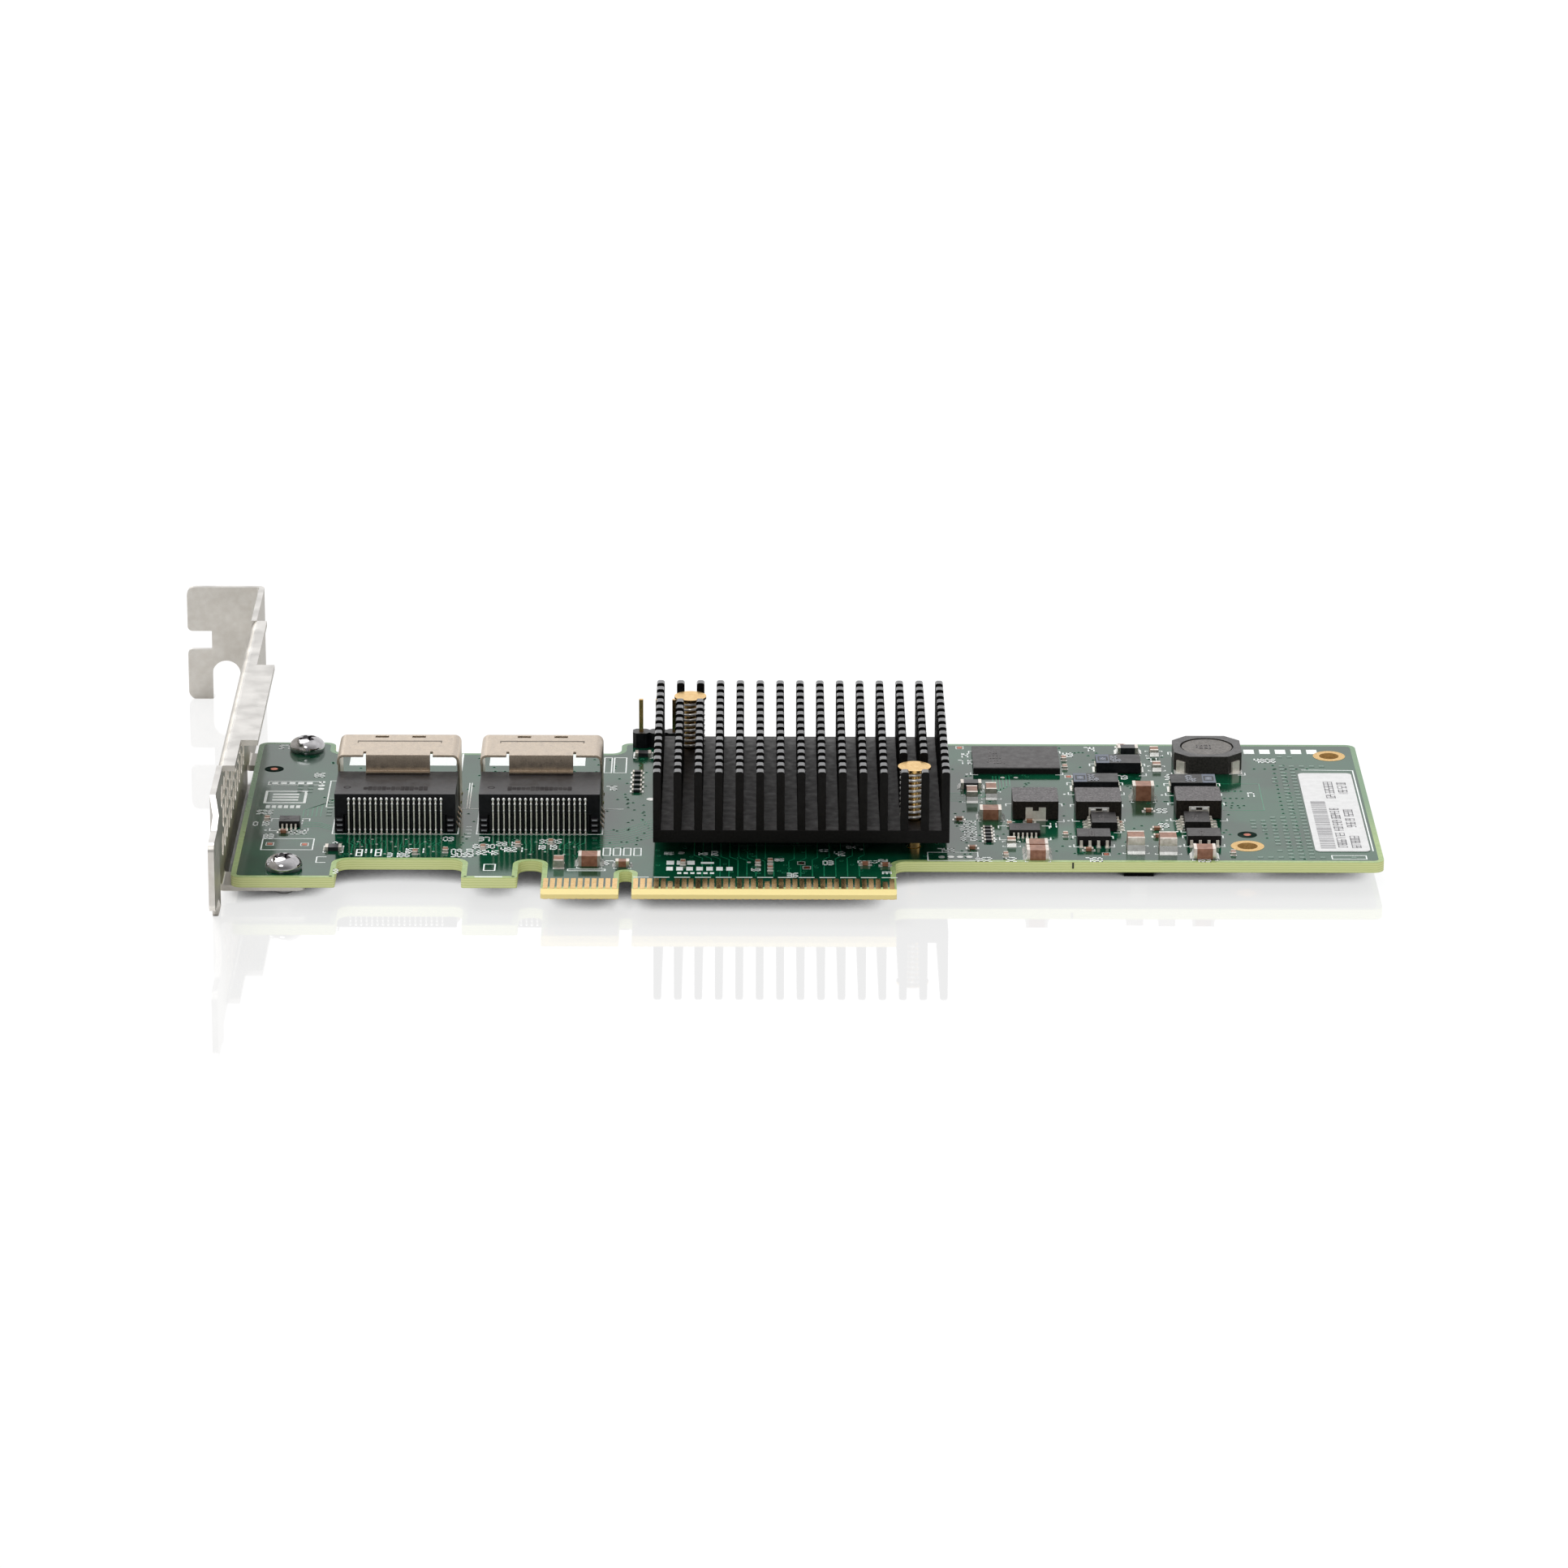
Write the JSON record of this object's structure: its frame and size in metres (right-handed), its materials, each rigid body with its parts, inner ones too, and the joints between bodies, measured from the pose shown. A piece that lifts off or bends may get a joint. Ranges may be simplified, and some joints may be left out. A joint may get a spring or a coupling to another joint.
{
  "type": "raid controller card",
  "caption": "Low-profile-height controller card with a full-height slot bracket, two internal cable ports, a pin-fin heat sink on push pins and an edge connector.",
  "frame": {"origin": "centre of the edge connector's key notch, on the line of the connector's front edge, half-way through the board", "axes": "+X along the card away from the bracket, +Y from the gold contacts to the card's back edge, +Z out of the component side"},
  "size_m": [0.1814, 0.1201, 0.0184],
  "materials": {
    "solder_mask": "glossy green",
    "gold": "plated gold",
    "bracket_steel": "satin nickel plate",
    "screw_steel": "bright plate",
    "port_shield": "bright tin plate",
    "black_moulding": "moulded black",
    "tinned_lead": "tinned",
    "black_anodised": "black anodised",
    "brass": "turned",
    "spring_steel": "bright drawn wire",
    "chip_moulding": "fine moulded",
    "thermal_interface": "soft pad",
    "ferrite": "sintered, speckled",
    "capacitor_ceramic": "fired ceramic",
    "label_film": "printed film"
  },
  "bodies": {
    "root": {"bracket": "bracket_steel", "bracket_screw_front": "screw_steel", "bracket_screw_rear": "screw_steel", "cable_port_1_body": "black_moulding", "cable_port_1_cage": "port_shield", "cable_port_1_contacts": "tinned_lead", "cable_port_2_body": "black_moulding", "cable_port_2_cage": "port_shield", "cable_port_2_contacts": "tinned_lead", "ceramic_capacitor_bodies": "capacitor_ceramic", "ceramic_capacitor_ends": "tinned_lead", "chip_resistor_bodies": "chip_moulding", "chip_resistor_ends": "tinned_lead", "circuit_board": "solder_mask", "controller_chip": "chip_moulding", "drum_inductor_core": "ferrite", "drum_inductor_frame": "ferrite", "drum_inductor_terminals": "tinned_lead", "edge_contacts_component_side": "gold", "edge_contacts_solder_side": "gold", "heat_sink": "black_anodised", "label": "label_film", "logic_chip": "chip_moulding", "logic_chip_leads": "tinned_lead", "memory_chip": "chip_moulding", "pin_header_body": "black_moulding", "pin_header_pins": "gold", "power_inductor_1": "ferrite", "power_inductor_2": "ferrite", "power_inductor_3": "ferrite", "power_inductor_clips": "tinned_lead", "push_pin_left": "brass", "push_pin_right": "brass", "push_pin_spring_left": "spring_steel", "push_pin_spring_right": "spring_steel", "regulator_chip": "chip_moulding", "regulator_chip_leads": "tinned_lead", "tantalum_capacitor_1": "chip_moulding", "tantalum_capacitor_2": "chip_moulding", "tantalum_capacitor_3": "chip_moulding", "tantalum_capacitor_leads": "tinned_lead", "thermal_pad": "thermal_interface", "transistor_1": "chip_moulding", "transistor_2": "chip_moulding", "transistor_3": "chip_moulding", "transistor_4": "chip_moulding", "transistor_leads": "tinned_lead", "underside_capacitor_1": "chip_moulding", "underside_capacitor_2": "chip_moulding"}
  },
  "joints": []
}
